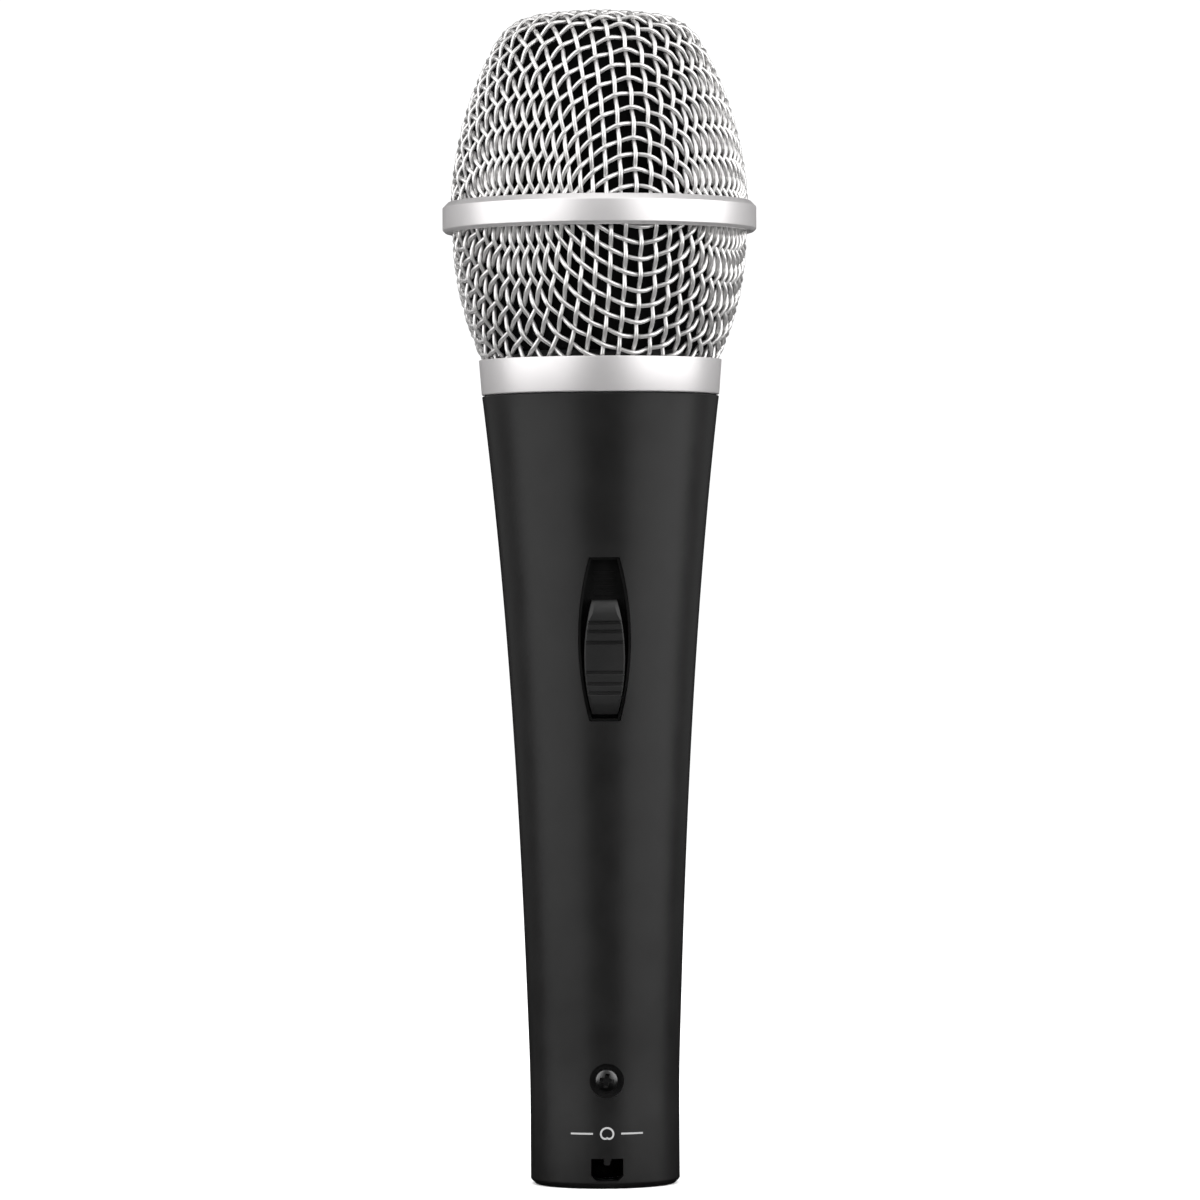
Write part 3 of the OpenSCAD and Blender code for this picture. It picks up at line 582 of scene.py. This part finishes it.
def window_cutter():
    """Hole for the plug's latch, with bevelled lower corners and a tab hanging from its top edge."""
    half, c = WINDOW_W / 2, WINDOW_CORNER
    root, tip, tab_z = TAB_ROOT_W / 2, TAB_TIP_W / 2, WINDOW_H - TAB_H
    corners = [(c - half, 0), (half - c, 0), (half, c), (half, WINDOW_H), (root, WINDOW_H), (tip, tab_z),
               (-tip, tab_z), (-root, WINDOW_H), (-half, WINDOW_H), (-half, c)]
    outline = [(x, WINDOW_Z + z) for x, z in corners]
    return prism("window_cutter", outline, -TAIL_R - MM, -TAIL_R + WINDOW_D)


def recess_cutter():
    """Round recess for the connector's screw."""
    angles = np.linspace(0, 2 * math.pi, 97)[:-1]
    circle = [(RECESS_R * math.cos(a), SCREW_Z + RECESS_R * math.sin(a)) for a in angles]
    return prism("recess_cutter", circle, -TAIL_R - MM, -TAIL_R + RECESS_DEPTH)


def build_handle():
    """Handle shell with its three holes."""
    shell = lathe("handle", handle_profile(), 224)
    cut_away(shell, slot_cutter(), window_cutter(), recess_cutter())
    sharp_by_angle(shell, 30)
    finish_piece(shell, "handle", "handle_paint", "handle_shell")


def slider_stations():
    """Height and depth of the slider's top surface along its length.

    It is a dish with three steps either way from its middle, and a groove at the foot of each step.
    """
    floor_y = SLIDER_TOP_Y + len(SLIDER_STEPS) * SLIDER_STEP_H
    edge = 0.05 * MM
    half = [(0, floor_y)]
    for i, z in enumerate(SLIDER_STEPS):
        y = floor_y - i * SLIDER_STEP_H
        groove_z, groove_y = z - SLIDER_GROOVE_W, y + SLIDER_GROOVE_D
        half += [(groove_z, y), (groove_z + edge, groove_y), (z - edge, groove_y),
                 (z, y - SLIDER_STEP_H + edge), (z + edge, y - SLIDER_STEP_H)]
    end = SLIDER_LEN / 2
    for z, drop in ((SLIDER_LAND, 0), (SLIDER_LAND + 0.5 * MM, 0.1), (end - 0.3 * MM, 0.6), (end, 1)):
        half.append((z, SLIDER_TOP_Y + drop * SLIDER_END_DROP))
    return [(-z, y) for z, y in half[:0:-1]] + half


def build_slider():
    """Barrel-shaped slider with bevelled edges."""
    shoulder = 0.7       # the bevel's height as a part of its width
    dish_end = SLIDER_STEPS[-1] + 0.1 * MM
    sections = []
    for z, y in slider_stations():
        w = barrel_half_width(z, SLIDER_LEN, SLIDER_MID_W, SLIDER_END_W)
        bevel = SLIDER_END_BEVEL if abs(z) > dish_end else SLIDER_BEVEL
        across = [(-w, SLIDER_FOOT_Y), (-w, y + shoulder * bevel), (-w + bevel, y),
                  (w - bevel, y), (w, y + shoulder * bevel), (w, SLIDER_FOOT_Y)]
        sections.append([(x, depth, SLIDER_MID_Z + z) for x, depth in across])
    slider = loft("slider", sections)
    slider.data.transform(AT_SWITCH)
    sharp_by_angle(slider, 30)
    finish_piece(slider, "switch", "slider_plastic", "switch_slider")


def cross_arm(turn):
    """One arm of the cross recess, narrower and shorter at its bottom, turned from upright."""
    sections = []
    for (length, half), z in ((CROSS_LOW, SCREW_HEAD_H - CROSS_D), (CROSS_TOP, SCREW_HEAD_H + 0.1 * MM)):
        sections.append([(-length, -half, z), (length, -half, z), (length, half, z), (-length, half, z)])
    arm = loft("cross_cutter", sections)
    arm.data.transform(Matrix.Rotation(math.radians(turn), 4, "Z"))
    return arm


def build_screw():
    """Domed screw with a cross recess, made upright and then laid into the tail."""
    edge = 0.12 * MM
    dome_base = SCREW_HEAD_H - SCREW_DOME_R
    dome = [(r, dome_base + math.sqrt(SCREW_DOME_R ** 2 - r * r))
            for r in np.linspace(0, SCREW_HEAD_R - edge, 12)]
    edge_z = dome[-1][1] - 0.1 * MM
    shank = [(SCREW_SHANK_R, 0), (SCREW_SHANK_R, SCREW_SHANK_END), (0, SCREW_SHANK_END)]
    profile = dome + [(SCREW_HEAD_R, edge_z), (SCREW_HEAD_R, 0)] + shank
    screw = lathe("connector_screw_detail", profile[::-1], 96)
    cut_away(screw, cross_arm(SCREW_TURN), cross_arm(SCREW_TURN + 90))
    seat_y = -TAIL_R + RECESS_DEPTH - 0.05 * MM
    screw.data.transform(Matrix.Translation((0, seat_y, SCREW_Z)) @ Matrix.Rotation(math.pi / 2, 4, "X"))
    sharp_by_angle(screw, 30)
    finish_piece(screw, "handle", "black_steel", "connector_screw")


def stroke(points, half, closed):
    """Left and right edges of a flat line of even width along points in a plane."""
    p = np.array(points)
    ahead = np.roll(p, -1, 0) - np.roll(p, 1, 0)
    if not closed:
        ahead[0], ahead[-1] = p[1] - p[0], p[-1] - p[-2]
    ahead /= np.linalg.norm(ahead, axis=1)[:, None]
    side = np.stack([-ahead[:, 1], ahead[:, 0]], 1) * half
    return p + side, p - side


def on_tail(x, z, lift):
    """The point in front of x, z that is this far off the tail's surface."""
    r = TAIL_R + lift
    return x, -math.sqrt(r * r - x * x), z


def build_print():
    """Generic pickup-pattern sign between two short rules, printed on the tail."""
    heart = []
    for t in np.linspace(0, 2 * math.pi, 73)[:-1] + math.pi / 2:
        reach = HEART_R * (1 + math.sin(t))
        heart.append((reach * math.cos(t), PRINT_Z - HEART_DROP + reach * math.sin(t)))
    shapes = [(heart, True)]
    for side in (-1, 1):
        rule = [(side * x, PRINT_Z) for x in np.linspace(RULE_FROM, RULE_TO, 12)]
        shapes.append((rule, False))
    verts, faces = [], []
    for points, closed in shapes:
        edges = np.vstack(stroke(points, PRINT_LINE, closed))
        n = len(points)
        base = len(verts)
        for lift in (INK_BELOW, INK_ABOVE):
            verts += [on_tail(x, z, lift) for x, z in edges]
        for k in range(n if closed else n - 1):
            q = (k + 1) % n
            for u, v in ((0, 1), (1, 3), (3, 2), (2, 0)):
                faces.append([base + u * n + k, base + u * n + q, base + v * n + q, base + v * n + k])
        if not closed:
            for k in (0, n - 1):
                faces.append([base + k, base + n + k, base + 3 * n + k, base + 2 * n + k])
    sign = outward(mesh_object("tail_print", verts, faces, smooth=False))
    sign.data.materials.append(materials["print_ink"])
    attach(sign, "handle")


# ---------------------------------------------------------------- materials

materials = {}


def new_material(name, colour, metallic=0.0, roughness=0.5, **sockets):
    """An even material; sockets are more of its shader's inputs, with _ for a space."""
    m = bpy.data.materials.new(name)
    m.use_nodes = True
    shader = m.node_tree.nodes["Principled BSDF"]
    shader.inputs["Base Color"].default_value = (*colour, 1)
    shader.inputs["Metallic"].default_value = metallic
    shader.inputs["Roughness"].default_value = roughness
    for key, value in sockets.items():
        shader.inputs[key.replace("_", " ")].default_value = value
    materials[name] = m
    return m.node_tree, shader


def noise(tree, stretch, scale, detail):
    """Noise over the object, with its position multiplied by stretch along each axis."""
    coords = tree.nodes.new("ShaderNodeTexCoord")
    mapping = tree.nodes.new("ShaderNodeMapping")
    mapping.inputs["Scale"].default_value = stretch
    tree.links.new(coords.outputs["Object"], mapping.inputs["Vector"])
    texture = tree.nodes.new("ShaderNodeTexNoise")
    texture.inputs["Scale"].default_value = scale
    texture.inputs["Detail"].default_value = detail
    tree.links.new(mapping.outputs["Vector"], texture.inputs["Vector"])
    return texture.outputs["Fac"]


def spread(tree, value, low, high, out_low, out_high):
    """Maps value from low..high to out_low..out_high."""
    r = tree.nodes.new("ShaderNodeMapRange")
    for key, v in (("From Min", low), ("From Max", high), ("To Min", out_low), ("To Max", out_high)):
        r.inputs[key].default_value = v
    tree.links.new(value, r.inputs["Value"])
    return r.outputs["Result"]


def mix_colours(tree, factor, a, b):
    """A blend from colour a to colour b."""
    m = tree.nodes.new("ShaderNodeMix")
    m.data_type = "RGBA"
    tree.links.new(factor, m.inputs["Factor"])
    for key, colour in (("A", a), ("B", b)):
        socket = [i for i in m.inputs if i.name == key and i.type == "RGBA"][0]
        socket.default_value = (*colour, 1)
    return [o for o in m.outputs if o.type == "RGBA"][0]


def vary(tree, shader, colours, patches, patch_to, gloss, roughness, swing):
    """Patches of the second colour in the first, and a roughness that swings a little either way."""
    tint = spread(tree, patches, 0.35, patch_to, 0, 1)
    tree.links.new(mix_colours(tree, tint, *colours), shader.inputs["Base Color"])
    wear = spread(tree, gloss, 0.3, 0.7, roughness - swing, roughness + swing)
    tree.links.new(wear, shader.inputs["Roughness"])


def bump(tree, shader, height, distance, strength):
    """Relief that is too fine to model."""
    b = tree.nodes.new("ShaderNodeBump")
    b.inputs["Distance"].default_value = distance
    b.inputs["Strength"].default_value = strength
    tree.links.new(height, b.inputs["Height"])
    tree.links.new(b.outputs["Normal"], shader.inputs["Normal"])


EVENLY = (1, 1, 1)
ROUND_THE_AXIS = (0.02, 0.02, 1)     # fine noise drawn out into lines that run round the axis
IN_BANDS = (12, 12, 1)
SATIN_METALLIC = 0.83                # the rest scatters light evenly, as a blasted surface does


def moulded(name, dark, light, roughness, grain=9000, depth=0.02 * MM, **sockets):
    """Moulded or painted surface: fine grain, slight colour and gloss variation."""
    tree, shader = new_material(name, dark, roughness=roughness, **sockets)
    broad = noise(tree, EVENLY, 160, 4.0)
    vary(tree, shader, (dark, light), broad, 0.65, broad, roughness, 0.03)
    bump(tree, shader, noise(tree, EVENLY, grain, 2.0), depth, 0.6)


def metal(name, colour, tint, metallic, roughness, fine_noise, broad_noise, depth):
    """Metal with fine relief and faint tarnish; each noise is its stretch and its scale."""
    tree, shader = new_material(name, colour, metallic, roughness)
    fine = noise(tree, *fine_noise, 2.0)
    vary(tree, shader, (colour, tint), noise(tree, *broad_noise, 4.0), 0.7, fine, roughness, 0.04)
    bump(tree, shader, fine, depth, 0.5)


def turned_metal(name, colour, tint, roughness, lines=9000, depth=0.004 * MM):
    """Metal turned on a lathe: fine lines round the axis."""
    metal(name, colour, tint, 1.0, roughness, (ROUND_THE_AXIS, lines), (IN_BANDS, 22), depth)


def blasted_metal(name, colour, tint, roughness, grain=7000, depth=0.006 * MM):
    """Plated metal with an even, fine-grained satin surface."""
    metal(name, colour, tint, SATIN_METALLIC, roughness, (EVENLY, grain), (EVENLY, 120), depth)


def build_materials():
    moulded("handle_paint", (0.0042, 0.0040, 0.0040), (0.0052, 0.0050, 0.0050), 0.36, 14000, 0.006 * MM)
    blasted_metal("satin_nickel", (0.755, 0.738, 0.74), (0.715, 0.698, 0.7), 0.42)
    blasted_metal("grille_wire", (0.80, 0.79, 0.785), (0.72, 0.71, 0.70), 0.34, 5000, 0.002 * MM)
    moulded("foam", (0.0015, 0.0015, 0.0015), (0.004, 0.004, 0.004), 0.95, 1800, 0.3 * MM,
            Specular_IOR_Level=0.0)
    moulded("black_plastic", (0.001, 0.001, 0.001), (0.0018, 0.0018, 0.0018), 0.5, Specular_IOR_Level=0.2)
    moulded("connector_plastic", (0.006, 0.006, 0.006), (0.009, 0.009, 0.009), 0.4)
    moulded("slider_plastic", (0.0055, 0.0055, 0.0055), (0.007, 0.007, 0.007), 0.48, 9000, 0.01 * MM,
            Specular_IOR_Level=0.42)
    turned_metal("contact_metal", (0.85, 0.84, 0.80), (0.74, 0.71, 0.64), 0.2)
    turned_metal("gold_contact", (0.83, 0.62, 0.25), (0.70, 0.50, 0.20), 0.25)
    moulded("black_steel", (0.12, 0.12, 0.12), (0.16, 0.16, 0.16), 0.3, 6000, 0.003 * MM, Metallic=1.0)
    moulded("print_ink", (0.24, 0.24, 0.24), (0.28, 0.28, 0.28), 0.6)
    turned_metal("zinc_screw", (0.66, 0.66, 0.64), (0.55, 0.55, 0.53), 0.32)
    moulded("lead_sleeve", (0.30, 0.012, 0.012), (0.36, 0.02, 0.02), 0.45)
    moulded("lead_sleeve_yellow", (0.55, 0.36, 0.03), (0.62, 0.42, 0.05), 0.45)
    moulded("circuit_board", (0.012, 0.09, 0.03), (0.016, 0.12, 0.04), 0.35)
    turned_metal("switch_can", (0.70, 0.70, 0.69), (0.60, 0.60, 0.58), 0.3)
    moulded("ivory_plastic", (0.72, 0.68, 0.56), (0.78, 0.74, 0.62), 0.35)
    moulded("seal_rubber", (0.008, 0.008, 0.008), (0.014, 0.014, 0.014), 0.7)
    moulded("grey_plastic", (0.035, 0.035, 0.037), (0.045, 0.045, 0.047), 0.45)
    moulded("fibre_board", (0.24, 0.12, 0.045), (0.30, 0.16, 0.06), 0.6)
    moulded("felt", (0.12, 0.10, 0.085), (0.20, 0.175, 0.15), 0.95, 3000, 0.15 * MM)
    moulded("magnet_metal", (0.10, 0.10, 0.10), (0.15, 0.15, 0.15), 0.45)
    turned_metal("pole_iron", (0.62, 0.62, 0.61), (0.50, 0.50, 0.49), 0.35)
    turned_metal("coil_wire", (0.60, 0.22, 0.07), (0.48, 0.16, 0.05), 0.3, 5000, 0.06 * MM)
    moulded("diaphragm_film", (0.60, 0.52, 0.34), (0.66, 0.58, 0.40), 0.25)
    turned_metal("ring_brass", (0.70, 0.48, 0.18), (0.58, 0.38, 0.14), 0.3)
    moulded("gauze_cloth", (0.03, 0.03, 0.03), (0.07, 0.07, 0.07), 0.9, 4000, 0.1 * MM)
    turned_metal("cap_aluminium", (0.70, 0.70, 0.71), (0.60, 0.60, 0.61), 0.3)


def paint_nodes():
    """Gives each CAD node the material of its slot in the record."""
    slots = {s["node"]: s["material_slot"] for s in frame["record"]["subparts"]}
    for name, obj in nodes.items():
        obj.data.materials.clear()
        obj.data.materials.append(materials[slots[name]])
        obj.data.polygons.foreach_set("material_index", [0] * len(obj.data.polygons))


# ---------------------------------------------------------------- stage, lights and camera

VIEW_Z = 91.5 * MM
VIEW_DISTANCE = 1.02
VIEW_WIDTH = 188.5 * MM
VIEW_AZIMUTH = -1.5       # degrees from the front towards +X
VIEW_ROLL = 0.36          # degrees
VIEW_SIDE = 0.28 * MM
SENSOR_W = 36
LIGHTS_AIM_Z = 0.11
FLOOR_HALF = 4
FLOOR_DROP = 0.02 * MM    # keeps the floor clear of the tail's end
WORLD_STRENGTH = 1.08


def build_camera():
    """Camera at the front, level with the middle of the microphone."""
    cam = bpy.data.objects.new("camera", bpy.data.cameras.new("camera"))
    scene.collection.objects.link(cam)
    cam.data.sensor_width = SENSOR_W
    cam.data.lens = SENSOR_W * VIEW_DISTANCE / VIEW_WIDTH
    cam.data.clip_start, cam.data.clip_end = 0.05, 50
    a = math.radians(VIEW_AZIMUTH)
    away = Vector((math.sin(a), -math.cos(a), 0))
    right = Vector((math.cos(a), math.sin(a), 0))
    cam.location = Vector((0, 0, VIEW_Z)) + away * VIEW_DISTANCE - right * VIEW_SIDE
    turn = (-away).to_track_quat("-Z", "Y").to_matrix() @ Matrix.Rotation(math.radians(-VIEW_ROLL), 3, "Z")
    cam.rotation_euler = turn.to_euler()
    scene.camera = cam


def soft_box(name, azimuth, distance, height, size, radiance):
    """A rectangular light at an azimuth from the front, towards +X, that faces the microphone."""
    light = bpy.data.lights.new(name, "AREA")
    light.shape = "RECTANGLE"
    light.size, light.size_y = size
    light.energy = radiance * math.pi * size[0] * size[1]
    obj = bpy.data.objects.new(name, light)
    scene.collection.objects.link(obj)
    a = math.radians(azimuth)
    obj.location = (distance * math.sin(a), -distance * math.cos(a), height)
    obj.rotation_euler = (Vector((0, 0, LIGHTS_AIM_Z)) - obj.location).to_track_quat("-Z", "Y").to_euler()


def build_floor():
    """White floor, which reflections don't show."""
    h = FLOOR_HALF
    floor = mesh_object("floor", [(-h, -h, 0), (h, -h, 0), (h, h, 0), (-h, h, 0)], [(0, 1, 2, 3)])
    floor.location.z = -FLOOR_DROP
    new_material("floor", (0.95, 0.95, 0.95), roughness=0.9, Specular_IOR_Level=0.0)
    floor.data.materials.append(materials["floor"])
    floor.visible_glossy = False


def build_world():
    """White all round, except in reflections, which show only the soft boxes."""
    world = bpy.data.worlds.new("studio")
    world.use_nodes = True
    background = world.node_tree.nodes["Background"]
    background.inputs["Color"].default_value = (1, 1, 1, 1)
    background.inputs["Strength"].default_value = WORLD_STRENGTH
    world.cycles_visibility.glossy = False
    scene.world = world
    scene.view_settings.view_transform = "Standard"


def build_lights():
    """Tall soft boxes at both sides, weak ones behind, and a fill in front and on top."""
    side, rear = (1.5, 1.0), (0.7, 0.9)
    soft_box("left_soft_box", -62, 0.8, 0.45, side, 1.95)
    soft_box("right_soft_box", 64, 0.8, 0.45, side, 2.2)
    soft_box("left_rear_soft_box", -132, 0.9, 0.4, rear, 0.22)
    soft_box("right_rear_soft_box", 132, 0.9, 0.4, rear, 0.22)
    soft_box("front_fill", 0, 1.6, 0.5, (1.0, 1.0), 0.11)
    soft_box("top_soft_box", 0, 0.25, 1.1, (1.2, 0.9), 1.15)


build_materials()
build_floor()
build_world()
build_lights()
paint_nodes()
build_grilles()
build_foam()
build_band()
build_collar()
build_handle()
build_slider()
build_screw()
build_print()
build_camera()
